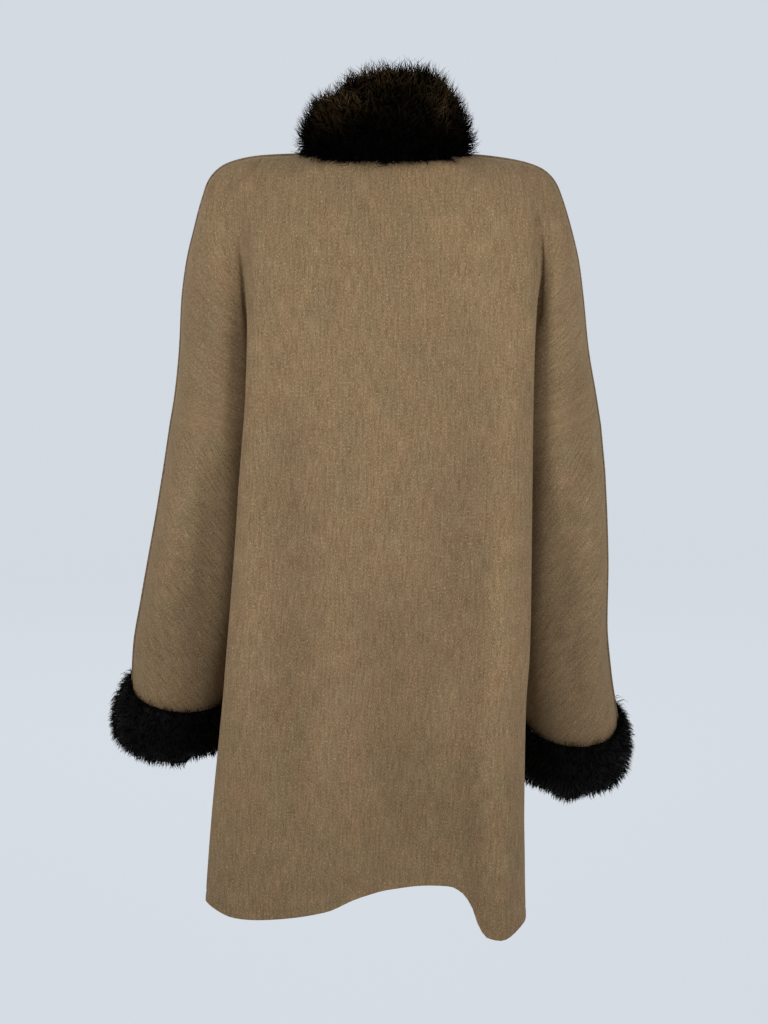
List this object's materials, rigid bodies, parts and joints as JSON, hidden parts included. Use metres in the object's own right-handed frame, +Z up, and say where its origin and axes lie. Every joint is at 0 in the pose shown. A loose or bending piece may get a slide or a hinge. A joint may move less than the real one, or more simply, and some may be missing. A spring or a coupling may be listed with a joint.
{
  "type": "long coat",
  "caption": "Three-quarter wool coat in worn form, back and sleeves cut in one, with a standing fur collar and turned-back fur cuffs.",
  "frame": {"origin": "middle of the neck opening, at the height of the shoulder line, where the wearer's shoulders carry the coat", "axes": "+Z up, +X to the wearer's left, -Y the way the front faces"},
  "size_m": [0.709, 0.346, 1.0725],
  "materials": {
    "wool": "matte",
    "long_fur": "satin",
    "short_fur": "satin"
  },
  "bodies": {
    "root": {"back": "wool", "front_left": "wool", "front_right": "wool", "collar": "long_fur", "cuff_left": "short_fur", "cuff_right": "short_fur"}
  },
  "joints": []
}
